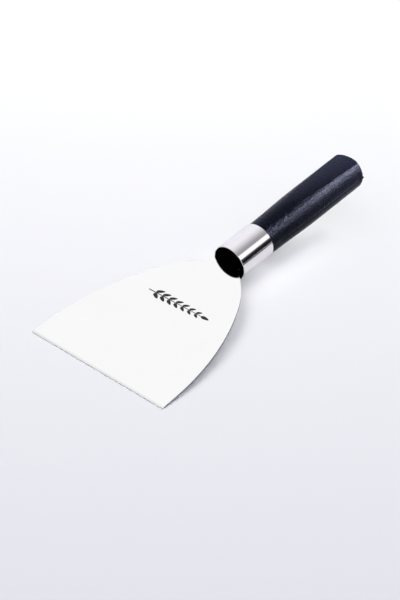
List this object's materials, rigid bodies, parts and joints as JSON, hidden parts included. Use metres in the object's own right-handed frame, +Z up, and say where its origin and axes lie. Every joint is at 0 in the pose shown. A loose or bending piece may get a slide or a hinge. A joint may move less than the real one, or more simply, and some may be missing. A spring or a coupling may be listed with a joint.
{
  "type": "bench scraper",
  "caption": "Bench scraper with a bell-shaped stainless blade on a full-width tang, a polished steel ferrule with a closed mouth, and a dark moulded split handle with flats.",
  "frame": {"origin": "on the bench surface, at the centre of the tool's outline seen from above, with the tool lying on its working edge and its ferrule", "axes": "+X across the blade, +Y from the working edge to the butt of the handle, +Z up; the blade rises 5.8 degrees towards the handle"},
  "size_m": [0.1, 0.229, 0.0326],
  "materials": {
    "blade_steel": "polished",
    "ferrule_steel": "polished",
    "plug_plastic": "gloss",
    "handle_plastic": "matte",
    "pin_steel": "satin"
  },
  "bodies": {
    "root": {"blade": "blade_steel", "ferrule": "ferrule_steel", "ferrule_plug": "plug_plastic", "handle_upper": "handle_plastic", "handle_lower": "handle_plastic", "tang_pins": "pin_steel"}
  },
  "joints": []
}
